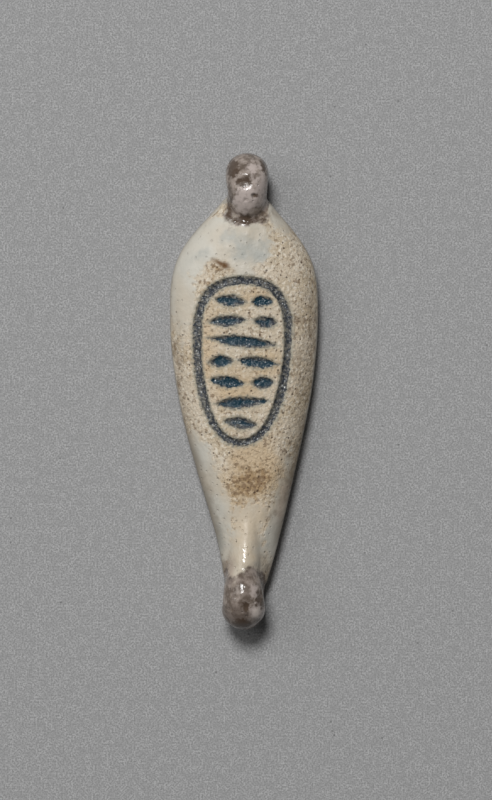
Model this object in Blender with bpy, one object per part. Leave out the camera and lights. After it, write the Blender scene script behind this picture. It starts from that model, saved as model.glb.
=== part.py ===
"""A petal-shaped collar bead of glazed paste with a string ring at each end.

Metres, +Z up. The bead lies on its flat back on z = 0, its length along Y with the wide end
towards +Y, its width along X. The origin is in the middle of its footprint.
"""

from math import cos, pi, radians, sin, sqrt

import bmesh
import bpy
from mathutils import Matrix, Vector

# Driving sizes
BEAD_LENGTH = 0.045
PETAL_WIDTH = 0.0140
PETAL_THICKNESS = 0.0049
RIM_HEIGHT = 0.0019
NECK_WIDTH = 0.00254
NECK_THICKNESS = 0.0030
RING_DIAMETER = 0.0064
RING_WIDTH = 0.00425
RING_FLAT_DEPTH = 0.00015
STRING_HOLE = 0.0019
UPPER_TONGUE_WIDTH = 0.0038
UPPER_TONGUE_LENGTH = 0.0074
LOWER_TONGUE_WIDTH = 0.0034
LOWER_TONGUE_LENGTH = 0.0095
TONGUE_TIP_SINK = 0.0004
GROOVE_WIDTH = 0.00088
GROOVE_DEPTH = 0.00030
STROKE_WIDTH = 0.00105
STROKE_DEPTH = 0.00028

# Modelled by hand, so nothing is quite in line
UPPER_RING_SHIFT = 0.00014
LOWER_RING_SHIFT = -0.00019
BELLY_SHIFT = -0.00014
MIDLINE_BOW = 0.00038
OVAL_SHIFT = -0.00025
OVAL_LEAN = radians(1.4)

# How far the rounded underside is cut away to make the flat back
TRIM_DEPTH = 0.0003

# The petal's proportions: its widest place as a share of the way to the upper ring, the shoulder
# and the taper as shares of the distances from there to the ring centres
BELLY_SHARE = 0.3775
SHOULDER_SHARE = 1.072
SHOULDER_POWER = 1.63
TAPER_SHARE = 1.253
CROWN_POWER = 0.5
FACE_SQUARENESS = 2.6
UNDERSIDE_SQUARENESS = 3.2

# How much of its width the face keeps between its side walls, at the belly and at the lower ring,
# and how far up its rise the walls start, over a rounded foot
BELLY_FACE_SHARE = 0.85
TAPER_FACE_SHARE = 0.32
WALL_FOOT_SHARE = 0.22

# How high on its ring each tongue starts, as a share of the ring's height. How deep the tongues
# root in the face, as a share of its height, how far they narrow and how soon they fall to it
UPPER_TONGUE_START_SHARE = 0.63
LOWER_TONGUE_START_SHARE = 0.96
TONGUE_ROOT_SHARE = 0.35
TONGUE_NARROWING_SHARE = 0.55
TONGUE_FALL_POWER = 1.4

# The carved oval, as shares of the petal's width and of the way from the middle to a ring centre
OVAL_WIDTH_SHARE = 0.603
OVAL_PLACE_SHARE = 0.262
OVAL_RISE_SHARE = 0.272
OVAL_FALL_SHARE = 0.512
OVAL_UPPER_SQUARENESS = 2.6
OVAL_LOWER_SQUARENESS = 2.1

# The rows of strokes, with margins and gaps in stroke widths
STROKE_ROWS = 7
STROKE_MARGIN_SHARE = 0.45
STROKE_GAP_SHARE = 0.5
STROKE_LEAN = radians(5)

# Fineness of the facets
TAPER_STATIONS = 24
SHOULDER_STATIONS = 18
FACE_STEPS = 16
UNDERSIDE_STEPS = 8
RING_SIDES = 36
CROWN_STEPS = 5
HOLE_SIDES = 20
TONGUE_STATIONS = 10
TONGUE_STEPS = 10
OVAL_STEPS = 60
GROOVE_SIDES = 12
STROKE_SIDES = 12
STROKE_RINGS = 8

# Places that follow from them
RING_Y = (BEAD_LENGTH - RING_DIAMETER) / 2
RING_Z = RING_DIAMETER / 2 - RING_FLAT_DEPTH
RING_TOP = RING_DIAMETER - RING_FLAT_DEPTH
BELLY_Y = RING_Y * BELLY_SHARE
OVAL_HALF_WIDTH = PETAL_WIDTH * OVAL_WIDTH_SHARE / 2
OVAL_Y = RING_Y * OVAL_PLACE_SHARE
OVAL_RISE = RING_Y * OVAL_RISE_SHARE
OVAL_FALL = RING_Y * OVAL_FALL_SHARE
CLEARANCE = 0.001


def clear_scene():
    for obj in list(bpy.data.objects):
        bpy.data.objects.remove(obj)


def glazed_paste():
    material = bpy.data.materials.new("glazed_paste")
    material.use_nodes = True
    shader = material.node_tree.nodes["Principled BSDF"]
    shader.inputs["Base Color"].default_value = (0.52, 0.46, 0.37, 1)
    shader.inputs["Roughness"].default_value = 0.4
    shader.inputs["Metallic"].default_value = 0.0
    return material


def mesh_object(name, bm):
    """An object of this mesh, smooth but for its sharp edges."""
    bmesh.ops.recalc_face_normals(bm, faces=bm.faces)
    mesh = bpy.data.meshes.new(name)
    bm.to_mesh(mesh)
    bm.free()
    mesh.shade_smooth()
    mesh.set_sharp_from_angle(angle=radians(40))
    obj = bpy.data.objects.new(name, mesh)
    bpy.context.scene.collection.objects.link(obj)
    return obj


def helper(obj):
    obj.hide_render = True
    obj.display_type = "WIRE"
    return obj


def combine(body, tool, operation):
    modifier = body.modifiers.new(f"{operation.lower()}_{tool.name}", "BOOLEAN")
    modifier.operation = operation
    modifier.solver = "EXACT"
    modifier.object = tool


def skin(bm, rows, closed_ends=True, looped=False):
    """Faces between neighbouring rows of points, each row being a closed outline."""
    rings = [[bm.verts.new(point) for point in row] for row in rows]
    pairs = list(zip(rings, rings[1:]))
    if looped:
        pairs.append((rings[-1], rings[0]))
    for first, second in pairs:
        for i in range(len(first)):
            j = (i + 1) % len(first)
            bm.faces.new((first[i], first[j], second[j], second[i]))
    if closed_ends:
        bm.faces.new(rings[0])
        bm.faces.new(rings[-1])


# The petal's form


def swell(y):
    """1 at the belly, falling to 0 where the petal runs into a ring."""
    if y > BELLY_Y:
        way = (y - BELLY_Y) / (SHOULDER_SHARE * (RING_Y - BELLY_Y))
        return (1 + cos(pi * min(way, 1) ** SHOULDER_POWER)) / 2
    way = (BELLY_Y - y) / (TAPER_SHARE * (RING_Y + BELLY_Y))
    return (1 + cos(pi * min(way, 1))) / 2


def half_width(y):
    return (NECK_WIDTH + (PETAL_WIDTH - NECK_WIDTH) * swell(y)) / 2


def crown_height(y):
    return NECK_THICKNESS + (PETAL_THICKNESS - NECK_THICKNESS) * swell(y) ** CROWN_POWER


def midline(y):
    """The petal's middle: it leans to each ring near its end and bows to one side between."""
    if y > BELLY_Y:
        way = (y - BELLY_Y) / (RING_Y - BELLY_Y)
        return BELLY_SHIFT + (UPPER_RING_SHIFT - BELLY_SHIFT) * way**4
    way = (BELLY_Y - y) / (RING_Y + BELLY_Y)
    lean = (LOWER_RING_SHIFT - BELLY_SHIFT) * way**4
    return BELLY_SHIFT + lean + MIDLINE_BOW * sin(pi * way**3)


def rise_at(y, across):
    """The face's height over its rim, as a share of the crown's: a dome cut by two side walls."""
    way = min(max((BELLY_Y - y) / (RING_Y + BELLY_Y), 0), 1)
    face_share = BELLY_FACE_SHARE + (TAPER_FACE_SHARE - BELLY_FACE_SHARE) * way
    dome = sqrt(max(1 - across**FACE_SQUARENESS, 0))
    return min(dome, WALL_FOOT_SHARE + (1 - across) / (1 - face_share))


def face_height(x, y):
    """The height of the petal's face over a point of its back."""
    across = min(abs(x - midline(y)) / half_width(y), 1)
    return RIM_HEIGHT + (crown_height(y) - RIM_HEIGHT) * rise_at(y, across)


def petal_section(y):
    """The domed face from one rim to the other, and the fuller underside back again."""
    outline = []
    for i in range(FACE_STEPS):
        angle = pi * i / FACE_STEPS
        across = abs(cos(angle)) ** (2 / FACE_SQUARENESS)
        side = 1 if angle < pi / 2 else -1
        height = RIM_HEIGHT + (crown_height(y) - RIM_HEIGHT) * rise_at(y, across)
        outline.append((midline(y) + half_width(y) * across * side, y, height))
    for i in range(UNDERSIDE_STEPS):
        angle = pi * i / UNDERSIDE_STEPS
        across = abs(cos(angle)) ** (2 / UNDERSIDE_SQUARENESS) * (-1 if angle < pi / 2 else 1)
        height = RIM_HEIGHT - (RIM_HEIGHT + TRIM_DEPTH) * sin(angle)
        outline.append((midline(y) + half_width(y) * across, y, height))
    return outline


def make_petal():
    taper = [-RING_Y + (BELLY_Y + RING_Y) * i / TAPER_STATIONS for i in range(TAPER_STATIONS)]
    rise = (RING_Y - BELLY_Y) / SHOULDER_STATIONS
    shoulder = [BELLY_Y + rise * i for i in range(SHOULDER_STATIONS + 1)]
    bm = bmesh.new()
    skin(bm, [petal_section(y) for y in taper + shoulder])
    return mesh_object("petal_bead", bm)


# The rings and the tongues of paste that hold them


def make_ring(name, shift, y):
    """A round-edged barrel turned about the string's axis, which lies along X."""
    radius = RING_DIAMETER / 2
    crown = min(RING_WIDTH / 2, radius - STRING_HOLE / 2)
    outline = [Vector((-RING_WIDTH / 2, 0, 0))]
    for side in (-1, 1):
        for i in range(CROWN_STEPS + 1):
            angle = pi / 2 * (i if side < 0 else CROWN_STEPS - i) / CROWN_STEPS
            along = side * (RING_WIDTH / 2 - crown + crown * cos(angle))
            outline.append(Vector((along, 0, radius - crown + crown * sin(angle))))
    outline.append(Vector((RING_WIDTH / 2, 0, 0)))
    bm = bmesh.new()
    points = [bm.verts.new(point) for point in outline]
    edges = [bm.edges.new(pair) for pair in zip(points, points[1:])]
    bmesh.ops.spin(
        bm, geom=points + edges, cent=(0, 0, 0), axis=(1, 0, 0), angle=2 * pi, steps=RING_SIDES
    )
    bmesh.ops.remove_doubles(bm, verts=bm.verts, dist=RING_DIAMETER / 10000)
    ring = mesh_object(name, bm)
    ring.location = (shift, y, RING_Z)
    return helper(ring)


def make_tongue(name, shift, ring_y, width, length, start_share):
    """A strap from the ring down on to the petal's face, which its tip sinks into."""
    inward = -1 if ring_y > 0 else 1
    lift = RING_TOP * start_share - crown_height(ring_y)
    rows = []
    for i in range(TONGUE_STATIONS + 1):
        way = i / TONGUE_STATIONS
        y = ring_y + inward * length * way
        ease = way * way * (3 - 2 * way)
        middle = shift + (midline(y) - shift) * ease
        face = face_height(midline(y), y)
        root = face * (1 - TONGUE_ROOT_SHARE)
        top = face + lift * (1 - way) ** TONGUE_FALL_POWER - TONGUE_TIP_SINK * way**4
        half = width / 2 * sqrt(1 - TONGUE_NARROWING_SHARE * way**3)
        row = []
        for j in range(TONGUE_STEPS + 1):
            angle = pi * j / TONGUE_STEPS
            row.append((middle + half * cos(angle), y, root + (top - root) * sin(angle)))
        rows.append(row)
    bm = bmesh.new()
    skin(bm, rows)
    return helper(mesh_object(name, bm))


def make_string_drill(name, shift, y):
    bm = bmesh.new()
    bmesh.ops.create_cone(
        bm,
        cap_ends=True,
        segments=HOLE_SIDES,
        radius1=STRING_HOLE / 2,
        radius2=STRING_HOLE / 2,
        depth=max(RING_WIDTH, NECK_WIDTH) + 2 * (abs(BELLY_SHIFT) + abs(MIDLINE_BOW) + CLEARANCE),
        matrix=Matrix.Rotation(pi / 2, 4, "Y"),
    )
    drill = mesh_object(name, bm)
    drill.location = (shift, y, RING_Z)
    return helper(drill)


def make_back_trim():
    """Everything below the surface that the bead lies on."""
    bm = bmesh.new()
    bmesh.ops.create_cube(bm, size=1)
    depth = TRIM_DEPTH + RING_FLAT_DEPTH + CLEARANCE
    size = (PETAL_WIDTH + RING_WIDTH + NECK_WIDTH, BEAD_LENGTH + 2 * CLEARANCE, depth)
    bmesh.ops.scale(bm, vec=size, verts=bm.verts)
    bmesh.ops.translate(bm, vec=(0, 0, -depth / 2), verts=bm.verts)
    return helper(mesh_object("back_trim", bm))


# The carving


def on_oval(angle):
    """A point of the groove's middle line, in the oval's own axes."""
    squareness = OVAL_UPPER_SQUARENESS if sin(angle) > 0 else OVAL_LOWER_SQUARENESS
    height = OVAL_RISE if sin(angle) > 0 else OVAL_FALL
    across = abs(cos(angle)) ** (2 / squareness) * (1 if cos(angle) > 0 else -1)
    up = abs(sin(angle)) ** (2 / squareness) * (1 if sin(angle) > 0 else -1)
    return Vector((OVAL_HALF_WIDTH * across, height * up))


def oval_half_width(up):
    """Half the oval's width, on the groove's middle line, at a height above its widest place."""
    squareness = OVAL_UPPER_SQUARENESS if up > 0 else OVAL_LOWER_SQUARENESS
    share = min(abs(up) / (OVAL_RISE if up > 0 else OVAL_FALL), 1)
    return OVAL_HALF_WIDTH * (1 - share**squareness) ** (1 / squareness)


def on_petal(point):
    """A point of the oval's own axes, placed on the petal's face."""
    x = OVAL_SHIFT + point.x * cos(OVAL_LEAN) + point.y * sin(OVAL_LEAN)
    y = OVAL_Y - point.x * sin(OVAL_LEAN) + point.y * cos(OVAL_LEAN)
    return Vector((x, y, face_height(x, y)))


def make_groove_cutter():
    """A round bar bent along the oval, sunk in the face to the groove's depth."""
    radius = (GROOVE_WIDTH**2 / 4 + GROOVE_DEPTH**2) / (2 * GROOVE_DEPTH)
    path = []
    for i in range(OVAL_STEPS):
        point = on_petal(on_oval(2 * pi * (i + 0.5) / OVAL_STEPS))
        path.append(point + Vector((0, 0, radius - GROOVE_DEPTH)))
    rows = []
    for i, point in enumerate(path):
        ahead = (path[(i + 1) % OVAL_STEPS] - path[i - 1]).normalized()
        side = ahead.cross(Vector((0, 0, 1))).normalized()
        up = side.cross(ahead)
        row = []
        for j in range(GROOVE_SIDES):
            angle = 2 * pi * j / GROOVE_SIDES
            row.append(point + radius * (side * cos(angle) + up * sin(angle)))
        rows.append(row)
    bm = bmesh.new()
    skin(bm, rows, closed_ends=False, looped=True)
    return helper(mesh_object("groove_cutter", bm))


def strokes():
    """The middle, half length and lean of each stroke, in the oval's own axes."""
    edge = GROOVE_WIDTH / 2 + STROKE_MARGIN_SHARE * STROKE_WIDTH
    top = OVAL_RISE - edge
    pitch = (top + OVAL_FALL - edge) / STROKE_ROWS
    gap = STROKE_GAP_SHARE * STROKE_WIDTH
    for row in range(STROKE_ROWS):
        up = top - pitch * (row + 0.5)
        room = 2 * (oval_half_width(up) - edge)
        single = row % 3 == 2 or room < 4 * STROKE_WIDTH
        weights = (1,) if single else ((3, 2), (2, 3))[row // 2 % 2]
        unit = (room - gap * (len(weights) - 1)) / sum(weights)
        left = -room / 2
        for j, weight in enumerate(weights):
            half = unit * weight / 2
            yield Vector((left + half, up)), half, STROKE_LEAN * (1 if (row + j) % 2 else -1)
            left += 2 * half + gap


def make_stroke_cutter():
    """Half-sunk ellipsoids that follow the face and leave shallow boat-shaped hollows."""
    bm = bmesh.new()
    grow = 2 / sqrt(3)
    for middle, half, lean in strokes():
        size = (half * grow, STROKE_WIDTH / 2 * grow, 2 * STROKE_DEPTH)
        made = bmesh.ops.create_uvsphere(
            bm,
            u_segments=STROKE_SIDES,
            v_segments=STROKE_RINGS,
            radius=1,
            matrix=Matrix.Rotation(lean, 4, "Z") @ Matrix.Diagonal((*size, 1)),
        )
        for vert in made["verts"]:
            lift = Vector((0, 0, vert.co.z + STROKE_DEPTH))
            vert.co = on_petal(middle + vert.co.to_2d()) + lift
    return helper(mesh_object("stroke_cutter", bm))


def make_bead():
    bead = make_petal()
    bead.data.materials.append(glazed_paste())
    ends = (
        ("upper", UPPER_RING_SHIFT, RING_Y),
        ("lower", LOWER_RING_SHIFT, -RING_Y),
    )
    tongues = (
        (UPPER_TONGUE_WIDTH, UPPER_TONGUE_LENGTH, UPPER_TONGUE_START_SHARE),
        (LOWER_TONGUE_WIDTH, LOWER_TONGUE_LENGTH, LOWER_TONGUE_START_SHARE),
    )
    for (end, shift, y), sizes in zip(ends, tongues):
        combine(bead, make_ring(f"{end}_ring", shift, y), "UNION")
        combine(bead, make_tongue(f"{end}_tongue", shift, y, *sizes), "UNION")
    combine(bead, make_back_trim(), "DIFFERENCE")
    for end, shift, y in ends:
        combine(bead, make_string_drill(f"{end}_string_drill", shift, y), "DIFFERENCE")
    combine(bead, make_groove_cutter(), "DIFFERENCE")
    combine(bead, make_stroke_cutter(), "DIFFERENCE")


clear_scene()
make_bead()
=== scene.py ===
# %% [markdown]
# # A petal-shaped bead of glazed paste
#
# This lesson dresses a small collar bead, 45 mm long. It lies on its flat back with the wide end
# away from us. A string ring was luted on at each end before firing. The face carries a carved
# oval with rows of short strokes, filled with dark blue glaze.
#
# The whole bead is one fired body, so it is one mesh here. Its sizes are in millimetres, because
# the details are tenths of a millimetre, and they become metres when the mesh is made.

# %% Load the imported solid
import itertools

import bpy
import numpy as np
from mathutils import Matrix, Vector


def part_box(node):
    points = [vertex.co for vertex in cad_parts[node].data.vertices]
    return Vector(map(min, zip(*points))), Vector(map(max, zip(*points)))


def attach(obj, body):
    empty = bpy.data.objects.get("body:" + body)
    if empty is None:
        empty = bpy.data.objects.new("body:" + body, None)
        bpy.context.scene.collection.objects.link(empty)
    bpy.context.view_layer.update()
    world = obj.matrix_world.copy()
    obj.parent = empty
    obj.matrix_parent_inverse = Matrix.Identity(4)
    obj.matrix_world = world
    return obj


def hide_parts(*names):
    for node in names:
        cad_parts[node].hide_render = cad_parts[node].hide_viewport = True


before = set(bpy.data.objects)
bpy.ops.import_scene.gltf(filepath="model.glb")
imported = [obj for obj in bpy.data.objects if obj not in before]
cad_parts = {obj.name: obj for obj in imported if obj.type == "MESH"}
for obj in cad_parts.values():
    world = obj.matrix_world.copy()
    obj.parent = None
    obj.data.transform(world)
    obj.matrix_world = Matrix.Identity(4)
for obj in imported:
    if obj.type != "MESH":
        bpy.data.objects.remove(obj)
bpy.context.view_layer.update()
NODE = "petal_bead"
low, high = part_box(NODE)
MM = 0.001
WIDTH, LENGTH, HEIGHT = ((high - low) / MM)[:]
print(f"the solid measures {WIDTH:.2f} x {LENGTH:.2f} x {HEIGHT:.2f} mm")

# %% [markdown]
# ## The sizes of the form
#
# The outline is one curve: narrow at the rings, wide at a belly nearer the top, with a quick
# shoulder above it and a long taper below. It could be traced point by point, but a raised cosine
# makes such a curve from four values. The solid was built from the same values, so the mesh made
# here fits it everywhere.

# %% Sizes in millimetres, and proportions as shares
PETAL_WIDTH = 14.0
CROWN = 4.9
RIM = 1.9
NECK_WIDTH = 2.54
NECK_HEIGHT = 3.0
RING_DIAMETER = 6.4
RING_WIDTH = 4.25
RING_PINCH = 0.16
STRING_HOLE = 1.9
UPPER_RING_X = 0.14
LOWER_RING_X = -0.19
BELLY_X = -0.14
MIDLINE_BOW = 0.38
RING_Y = (LENGTH - RING_DIAMETER) / 2
RING_Z = HEIGHT - RING_DIAMETER / 2
BELLY_Y = 0.3775 * RING_Y
SHOULDER_SHARE = 1.072
SHOULDER_POWER = 1.63
TAPER_SHARE = 1.253
CROWN_POWER = 0.5
FACE_SQUARENESS = 2.6
UNDERSIDE_SQUARENESS = 3.2
BELLY_FACE_SHARE = 0.85
TAPER_FACE_SHARE = 0.32
WALL_FOOT_SHARE = 0.22
TRIM = 0.3
print(f"the rings stand {2 * RING_Y:.1f} mm apart, {RING_Z:.2f} mm above the floor")


# %% Curves along the bead
def swell(y):
    """1 at the belly, falling to 0 where the petal runs into a ring."""
    above = np.clip((y - BELLY_Y) / (SHOULDER_SHARE * (RING_Y - BELLY_Y)), 0, 1)
    below = np.clip((BELLY_Y - y) / (TAPER_SHARE * (RING_Y + BELLY_Y)), 0, 1)
    way = np.where(y > BELLY_Y, above**SHOULDER_POWER, below)
    return (1 + np.cos(np.pi * way)) / 2


def half_width(y):
    return (NECK_WIDTH + (PETAL_WIDTH - NECK_WIDTH) * swell(y)) / 2


def crown_height(y):
    return NECK_HEIGHT + (CROWN - NECK_HEIGHT) * swell(y) ** CROWN_POWER


def midline(y):
    """The petal's middle: it leans to each ring near its end and bows to one side between."""
    up = np.clip((y - BELLY_Y) / (RING_Y - BELLY_Y), 0, 1)
    down = np.clip((BELLY_Y - y) / (RING_Y + BELLY_Y), 0, 1)
    lean = (UPPER_RING_X - BELLY_X) * up**4 + (LOWER_RING_X - BELLY_X) * down**4
    return BELLY_X + lean + MIDLINE_BOW * np.sin(np.pi * down**3)


def face_share(y):
    """How much of the width the face keeps between its side walls."""
    down = np.clip((BELLY_Y - y) / (RING_Y + BELLY_Y), 0, 1)
    return BELLY_FACE_SHARE + (TAPER_FACE_SHARE - BELLY_FACE_SHARE) * down


print(f"the belly is {2 * half_width(BELLY_Y):.2f} mm wide, {BELLY_Y:.1f} mm above the middle")

# %% [markdown]
# ## A form made of depths
#
# Clay that is pressed together has soft fillets where the pieces meet, and a glaze rounds them
# further. Booleans leave hard seams there. So the form is written as a function that gives, for
# any point, about how deep it lies under the surface (negative inside, positive outside). Two
# such functions can be fused with a fillet of any size, and carved by adding to them.

# %% Helpers for depths
LEAST_SLOPE = 0.25
FAR_OUTSIDE = -5.0


def fused(a, b, fillet):
    """The union of two forms with a soft fillet between them."""
    share = np.clip(0.5 + 0.5 * (b - a) / fillet, 0, 1)
    return b + (a - b) * share - fillet * share * (1 - share)


def kept_inside(a, b, edge):
    """What both forms share, with a rounded edge."""
    return -fused(-a, -b, edge)


def smooth_step(value, start, end):
    """Goes smoothly from 0 to 1 while the value goes from start to end."""
    share = np.clip((value - start) / (end - start), 0, 1)
    return share * share * (3 - 2 * share)


print(f"two forms half a millimetre deep fuse to {fused(-0.5, -0.5, 0.3):.3f} mm")


# %% A helper for uneven places
def grain(points, size, seed):
    """Smooth random values from -1 to 1 that change over about this many millimetres."""
    cells = 32
    lattice = np.random.default_rng(seed).uniform(-1, 1, (cells, cells, cells))
    at = points / size + cells
    base = np.floor(at).astype(int)
    ease = smooth_step(at - base, 0, 1)
    total = np.zeros(len(points))
    for corner in itertools.product((0, 1), repeat=3):
        weight = np.prod(np.where(corner, ease, 1 - ease), axis=1)
        index = (base + corner) % cells
        total += weight * lattice[index[:, 0], index[:, 1], index[:, 2]]
    return total


print(f"the grain is {grain(np.zeros((1, 3)), 1.0, 1)[0]:.2f} at the middle of the floor")

# %% [markdown]
# ## The petal
#
# The body has a domed face between steep walls, a rounded foot and a flat back. It could be lofted
# through a few sections, but one formula gives the section everywhere. It is a superellipse,
# squarer below the rim than above, cut by a sloping wall on each side.

# %% The petal
WALL_EDGE = 0.7
WALL_EDGE_RISE = 1.6
FOOT_EDGE = 0.05
END_EDGE = 0.4


def petal_depth(x, y, z):
    """A domed section over a rounded underside, swept along the bowed midline."""
    across = np.abs(x - midline(y)) / half_width(y)
    face = z > RIM
    reach = np.where(face, crown_height(y) - RIM, RIM + TRIM)
    power = np.where(face, FACE_SQUARENESS, UNDERSIDE_SQUARENESS)
    up = (z - RIM) / reach
    steep = np.hypot(power * across ** (power - 1) / half_width(y), 2 * up / reach)
    section = (across**power + up**2 - 1) / np.maximum(steep, LEAST_SLOPE)
    rise = crown_height(y) - RIM
    run = half_width(y) * (1 - face_share(y))
    above_foot = z - RIM - WALL_FOOT_SHARE * rise
    wall = (half_width(y) * (across - 1) * rise + above_foot * run) / np.hypot(rise, run)
    edge = FOOT_EDGE + WALL_EDGE * smooth_step(z, RIM, RIM + WALL_EDGE_RISE)
    return kept_inside(kept_inside(section, wall, edge), np.abs(y) - RING_Y, END_EDGE)


print(f"the petal is {CROWN} mm thick at the crown and {NECK_HEIGHT} mm at the necks")

# %% [markdown]
# ## The rings and their tongues
#
# Each ring is a short piece of paste with a hole for the string, and a tongue of the same paste
# runs from it on to the face and holds it. A torus would be too round across, because these rings
# are barrels with a crowned outside, drawn out a little towards the petal. The tongue is an arched
# strap whose tip sinks into the face.

# %% The rings
RING_STRETCH = 1.1


def ring_depth(x, y, z, ring_x, ring_y):
    """A round-crowned barrel about the string, drawn out and pinched where it meets the petal."""
    crown = min(RING_WIDTH, RING_DIAMETER - STRING_HOLE) / 2
    inward = (ring_y - y) * np.sign(ring_y) / (RING_DIAMETER / 2)
    pinch = 1 - RING_PINCH * smooth_step(inward, -0.5, 1)
    along = np.abs(x - ring_x) / pinch - (RING_WIDTH / 2 - crown)
    stretch = 1 + (RING_STRETCH - 1) * smooth_step(inward, 0, 0.5)
    out = np.hypot((y - ring_y) / stretch, z - RING_Z) - (RING_DIAMETER / 2 - crown)
    corner = np.hypot(np.maximum(along, 0), np.maximum(out, 0))
    return corner + np.minimum(np.maximum(along, out), 0) - crown


print(f"each ring is {RING_DIAMETER} mm across and {RING_WIDTH} mm wide")

# %% The tongues: ring x, ring y, width, length and start as a share of the height
TONGUES = (
    (UPPER_RING_X, RING_Y, 3.8, 7.4, 0.63),
    (LOWER_RING_X, -RING_Y, 3.4, 9.5, 0.96),
)
TONGUE_ROOT = 0.35
TONGUE_NARROWING = 0.55
TONGUE_TIP_SINK = 0.4
TONGUE_FALL = 1.4
TONGUE_EDGE = 0.3


def tongue_depth(x, y, z, ring_x, ring_y, width, length, start_share):
    """A strap of paste from the ring down on to the petal's face, which its tip sinks into."""
    way = (ring_y - y) * np.sign(ring_y) / length
    gone = np.clip(way, 0, 1)
    middle = ring_x + (midline(y) - ring_x) * smooth_step(way, 0, 1)
    face = crown_height(y)
    lift = HEIGHT * start_share - crown_height(ring_y)
    root = face * (1 - TONGUE_ROOT)
    top = face + lift * (1 - gone) ** TONGUE_FALL - TONGUE_TIP_SINK * gone**4
    half = width / 2 * np.sqrt(1 - TONGUE_NARROWING * gone**3)
    across = (x - middle) / half
    up = np.maximum(z - root, 0) / (top - root)
    steep = np.hypot(2 * across / half, 2 * up / (top - root))
    section = (across**2 + up**2 - 1) / np.maximum(steep, LEAST_SLOPE)
    ends = np.maximum(-way, way - 1) * length
    return kept_inside(kept_inside(section, root - z, TONGUE_EDGE), ends, TONGUE_EDGE)


print(f"the tongues are {' and '.join(str(length) for *place, length, start in TONGUES)} mm long")

# %% Fuse them, flatten the back and drill the rings
RING_FILLET = 0.28
TONGUE_FILLET = 0.30
BACK_EDGE = 0.12
HOLE_LIP = 0.3


def plain_depth(x, y, z):
    """The bead before it was carved."""
    depth = petal_depth(x, y, z)
    for ring_x, ring_y, *strap in TONGUES:
        ring = ring_depth(x, y, z, ring_x, ring_y)
        tongue = tongue_depth(x, y, z, ring_x, ring_y, *strap)
        depth = fused(depth, fused(ring, tongue, TONGUE_FILLET), RING_FILLET)
    return depth


def trimmed(depth, y, z):
    """The same form with its back flat on the floor and the rings drilled for the string."""
    depth = kept_inside(depth, -z, BACK_EDGE)
    for ring_x, ring_y, *strap in TONGUES:
        bore = np.hypot(y - ring_y, z - RING_Z) - STRING_HOLE / 2
        depth = kept_inside(depth, -bore, HOLE_LIP)
    return depth


print(f"{len(TONGUES)} rings are drilled {STRING_HOLE} mm wide for the string")

# %% [markdown]
# ## The carving
#
# The oval ring and the strokes were cut in the soft paste and filled with glaze. They could be
# painted on, but the real ones are sunk and catch the light. Cutting only removes what lies under
# the face, so the carving is a map of depths seen from above. The oval is a superellipse, wide and
# square above and more pointed below. Its strokes stand in rows, and no stroke is a letter: each
# is a boat-shaped cut that leans a little one way or the other.

# %% The oval
OVAL_X = -0.25
OVAL_Y = 0.262 * RING_Y
OVAL_LEAN = np.radians(1.4)
OVAL_HALF_WIDTH = 0.3015 * PETAL_WIDTH
OVAL_RISE = 0.272 * RING_Y
OVAL_FALL = 0.512 * RING_Y
OVAL_UPPER_SQUARENESS = 2.6
OVAL_LOWER_SQUARENESS = 2.1
OVAL_LEAST_SLOPE = 0.05


def oval_axes(x, y):
    """A point of the face in the oval's own axes: across it and up it."""
    right = x - OVAL_X
    up = y - OVAL_Y
    return (
        right * np.cos(OVAL_LEAN) - up * np.sin(OVAL_LEAN),
        right * np.sin(OVAL_LEAN) + up * np.cos(OVAL_LEAN),
    )


def oval_distance(across, up):
    """How far a point of the face lies outside the groove's middle line."""
    power = np.where(up > 0, OVAL_UPPER_SQUARENESS, OVAL_LOWER_SQUARENESS)
    reach = np.where(up > 0, OVAL_RISE, OVAL_FALL)
    share_x = np.abs(across) / OVAL_HALF_WIDTH
    share_y = np.abs(up) / reach
    total = share_x**power + share_y**power
    slope_x = share_x ** (power - 1) / OVAL_HALF_WIDTH
    slope_y = share_y ** (power - 1) / reach
    steep = power * np.hypot(slope_x, slope_y)
    return (total - 1) / np.maximum(steep, OVAL_LEAST_SLOPE)


def oval_half_width(up):
    """Half the oval's width, on the groove's middle line, at a height above its widest place."""
    power = OVAL_UPPER_SQUARENESS if up > 0 else OVAL_LOWER_SQUARENESS
    share = min(abs(up) / (OVAL_RISE if up > 0 else OVAL_FALL), 1)
    return OVAL_HALF_WIDTH * (1 - share**power) ** (1 / power)


print(f"the oval is {2 * OVAL_HALF_WIDTH:.2f} mm wide and {OVAL_RISE + OVAL_FALL:.2f} mm long")

# %% Its rows of strokes
GROOVE_WIDTH = 0.88
STROKE_WIDTH = 1.05
STROKE_ROWS = 7
STROKE_MARGIN = 0.45
STROKE_GAP = 0.5
STROKE_LEAN = np.radians(5)


def strokes():
    """The middle, half length and lean of each stroke, in the oval's own axes."""
    edge = GROOVE_WIDTH / 2 + STROKE_MARGIN * STROKE_WIDTH
    top = OVAL_RISE - edge
    pitch = (top + OVAL_FALL - edge) / STROKE_ROWS
    gap = STROKE_GAP * STROKE_WIDTH
    for row in range(STROKE_ROWS):
        up = top - pitch * (row + 0.5)
        room = 2 * (oval_half_width(up) - edge)
        single = row % 3 == 2 or room < 4 * STROKE_WIDTH
        weights = (1,) if single else ((3, 2), (2, 3))[row // 2 % 2]
        unit = (room - gap * (len(weights) - 1)) / sum(weights)
        left = -room / 2
        for j, weight in enumerate(weights):
            half = unit * weight / 2
            yield left + half, up, half, STROKE_LEAN * (1 if (row + j) % 2 else -1)
            left += 2 * half + gap


print(f"{len(list(strokes()))} strokes stand in {STROKE_ROWS} rows")

# %% Cut the groove and the strokes
GROOVE_DEPTH = 0.30
GROOVE_WOBBLE = 0.05
GROOVE_SWELLING = 0.14
GROOVE_FOOT_THINNING = 0.2
STROKE_DEPTH = 0.28
STROKE_BLEED = 0.05
STROKE_WOBBLE = 0.07


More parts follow.
